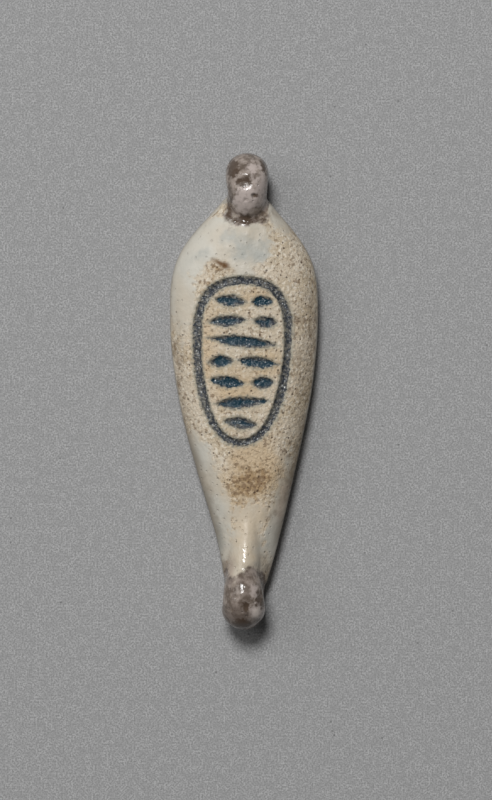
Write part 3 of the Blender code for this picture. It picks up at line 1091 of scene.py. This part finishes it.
# The white specks are painted glints.
slate = laid_on(tree, slate, specks(tree, 0.26, 0.085, 0.45), 0.75, PAINTED_GLINT)
is_inlay = between(tree, inlay_edge, -0.01, 0.16)
colour = mixed(tree, is_inlay, colour, slate)
print(f"with the inlay it takes {len(tree.nodes)}")

# %% [markdown]
# ## Age
#
# Dirt and painted shade sit in the hollows, along the base and in grimy, shaded patches down the
# sides. They could be painted with the patches above, but what settles in a hollow follows the
# form, and so does the shade there, so it comes from the hollowness measured on the mesh.

# %% Grime and painted shade, and dirt and painted shade in the hollows and along the base
GRIME_AND_SHADE_BROWN = seen(112, 94, 74)
HOLLOW_DIRT_AND_SHADE = seen(96, 82, 66)
BASE_DIRT_AND_SHADE = seen(108, 98, 84)

# Grime, partly painted shade on the steep lower walls and margins.
patchy = between(tree, cloud(tree, 0.3, 4.0, 19.0), 0.42, 0.62, 0.05, 0.55)
grime_and_shade_share = sums(tree, "MULTIPLY", stored(tree, "grime_and_shade"), patchy)
colour = mixed(tree, grime_and_shade_share, colour, GRIME_AND_SHADE_BROWN)
# Dirt and painted shade in the hollows, darker where they are deeper.
in_hollow = between(tree, stored(tree, "hollow"), 0.02, 0.09, 0.0, 0.55)
not_inlay = sums(tree, "SUBTRACT", 1.0, is_inlay)
in_hollow = sums(tree, "MULTIPLY", in_hollow, not_inlay)
colour = mixed(tree, in_hollow, colour, HOLLOW_DIRT_AND_SHADE)
# Painted shade and some dirt low on the walls and along the taper's outline, less under the brown
# glaze.
dirt_and_shade_by_glaze = between(tree, is_brown, 0.0, 1.0, 0.75, 0.15)
at_base = sums(tree, "MULTIPLY", stored(tree, "base"), dirt_and_shade_by_glaze)
colour = mixed(tree, at_base, colour, BASE_DIRT_AND_SHADE)
tree.links.new(colour, shader.inputs["Base Color"])
print(f"with the dirt it takes {len(tree.nodes)}")

# %% [markdown]
# ## Gloss and fine relief
#
# The glazes shine and the sandy paste doesn't. Grains, pinholes and ripples of a few hundredths of
# a millimetre would need millions of faces, so a bump node makes them. The glaze also stands a
# little proud of the paste where it ends.

# %% Gloss
PASTE_ROUGHNESS = 0.70
WHITE_ROUGHNESS = 0.48
GLASS_GLOSS = 0.70
INLAY_GLOSS = 0.84

glassy = sums(tree, "MAXIMUM", stored(tree, "pink"), stored(tree, "glassy"))
glassy = sums(tree, "MAXIMUM", is_brown, glassy)
roughness = between(tree, is_white, 0.0, 1.0, PASTE_ROUGHNESS, WHITE_ROUGHNESS)
worn = between(tree, cloud(tree, 0.5, 2.0, 13.0), 0.3, 0.7, -0.06, 0.10)
roughness = sums(tree, "ADD", roughness, worn)
for smooth_glaze, gloss in ((glassy, GLASS_GLOSS), (is_inlay, INLAY_GLOSS)):
    shine = sums(tree, "SUBTRACT", 1.0, sums(tree, "MULTIPLY", smooth_glaze, gloss))
    roughness = sums(tree, "MULTIPLY", roughness, shine)
tree.links.new(roughness, shader.inputs["Roughness"])
print(f"with its gloss it takes {len(tree.nodes)}")

# %% Relief too fine for the mesh, in millimetres
GLAZE_THICKNESS = 0.02
SAND_HEIGHT = 0.030
PIT_DEPTH = 0.05
RIPPLE_HEIGHT = 0.018
GLINT_HEIGHT = 0.03

glossy = sums(tree, "MAXIMUM", is_white, is_brown)
bare = sums(tree, "SUBTRACT", 1.0, glossy)
sandy = sums(tree, "MULTIPLY", swing(tree, 0.16, SAND_HEIGHT, seed=14.0), bare)
pitted = sums(tree, "MULTIPLY", dark_specks, -PIT_DEPTH)
ripple = swing(tree, 0.6, RIPPLE_HEIGHT, seed=15.0)
glints = swing(tree, 0.15, GLINT_HEIGHT, detail=2.0, seed=16.0)
glints = sums(tree, "MULTIPLY", is_inlay, glints)
height = sums(tree, "MULTIPLY", glossy, GLAZE_THICKNESS)
for part in (sandy, pitted, ripple, glints):
    height = sums(tree, "ADD", height, part)
relief = tree.nodes.new("ShaderNodeBump")
relief.inputs["Strength"].default_value = 1.0
relief.inputs["Distance"].default_value = MM
tree.links.new(height, relief.inputs["Height"])
tree.links.new(relief.outputs["Normal"], shader.inputs["Normal"])
print(f"the whole finish has {len(tree.nodes)} nodes")

# %% [markdown]
# ## The floor and the light
#
# The bead lies on plain grey card with a soft fibre grain, which is noise in two sizes and a few
# dark specks. One small soft lamp stands high beyond the bead, a little to the left, and throws
# the short dark shadow. A dim card at the left lifts the left wall, and an even light fills the
# rest. A sun lamp would make the shadow's edge too hard.

# %% The floor
FLOOR_SIZE = 2.0
CARD_ROUGHNESS = 0.9

bpy.ops.mesh.primitive_plane_add(size=FLOOR_SIZE, location=(0, 0, 0))
floor = bpy.context.object
floor.name = "floor"
card, tree, shader = new_finish("pale_card")
fibres = between(tree, cloud(tree, 0.08, 2.0, 1.0), 0.36, 0.64)
card_colour = mixed(tree, fibres, seen(131, 131, 131), seen(173, 173, 173))
clumps = between(tree, cloud(tree, 0.4, 3.0, 2.0), 0.4, 0.62, 0.0, 0.5)
card_colour = mixed(tree, clumps, card_colour, seen(141, 141, 141))
card_colour = laid_on(tree, card_colour, specks(tree, 1.6, 0.13, 0.3), 0.7, seen(96, 96, 96))
tree.links.new(card_colour, shader.inputs["Base Color"])
shader.inputs["Roughness"].default_value = CARD_ROUGHNESS
floor.data.materials.append(card)
print(f"the floor is {FLOOR_SIZE} m of {card.name}")

# %% The light
KEY_ELEVATION = 62
KEY_AZIMUTH = 17
KEY_SIZE = 0.28
KEY_POWER = 5.05
FILL_ELEVATION = 42
FILL_AZIMUTH = 70
FILL_SIZE = 0.6
FILL_POWER = 1.25
LAMP_DISTANCE = 0.9
AMBIENT = 0.05


def soft_lamp(name, azimuth, elevation, size, power):
    """A round lamp turned to the bead. Its azimuth runs left from the far side, in degrees."""
    left, up = np.radians((azimuth, elevation))
    toward = Vector((-np.sin(left) * np.cos(up), np.cos(left) * np.cos(up), np.sin(up)))
    data = bpy.data.lights.new(name, "AREA")
    data.shape = "DISK"
    data.size = size
    data.energy = power
    lamp = bpy.data.objects.new(name, data)
    lamp.location = toward * LAMP_DISTANCE
    lamp.rotation_euler = toward.to_track_quat("Z", "Y").to_euler()
    bpy.context.scene.collection.objects.link(lamp)
    return lamp


key = soft_lamp("key_softbox", KEY_AZIMUTH, KEY_ELEVATION, KEY_SIZE, KEY_POWER)
fill = soft_lamp("left_card", FILL_AZIMUTH, FILL_ELEVATION, FILL_SIZE, FILL_POWER)
world = bpy.data.worlds.new("studio")
world.use_nodes = True
world.node_tree.nodes["Background"].inputs["Color"].default_value = (1, 1, 1, 1)
world.node_tree.nodes["Background"].inputs["Strength"].default_value = AMBIENT
bpy.context.scene.world = world
bpy.context.scene.view_settings.view_transform = "Standard"
print(f"{key.name} and {fill.name} stand {LAMP_DISTANCE} m away")

# %% [markdown]
# ## The camera
#
# The photograph looks straight down, and the bead lies a little above the middle of the picture.
# A long lens shows the bead almost without perspective, as there. A wide one close by would make
# the rings look larger than they are.

# %% The camera
CAMERA_HEIGHT = 0.42
CAMERA_LENS = 200.0
SENSOR_WIDTH = 36.0
CLIP_START = 0.01
BEAD_PIXELS = 477
PICTURE_MIDDLE = (246, 400)
BEAD_MIDDLE = (245.5, 391.5)

pixel = LENGTH / BEAD_PIXELS * MM
camera_x = (PICTURE_MIDDLE[0] - BEAD_MIDDLE[0]) * pixel
camera_y = (BEAD_MIDDLE[1] - PICTURE_MIDDLE[1]) * pixel
camera_data = bpy.data.cameras.new("camera")
camera_data.lens = CAMERA_LENS
camera_data.sensor_width = SENSOR_WIDTH
camera_data.clip_start = CLIP_START
camera = bpy.data.objects.new("camera", camera_data)
camera.location = (camera_x, camera_y, CAMERA_HEIGHT)
bpy.context.scene.collection.objects.link(camera)
bpy.context.scene.camera = camera
print(f"the camera stands {CAMERA_HEIGHT / MM:.0f} mm up, and a pixel is {pixel / MM:.4f} mm")
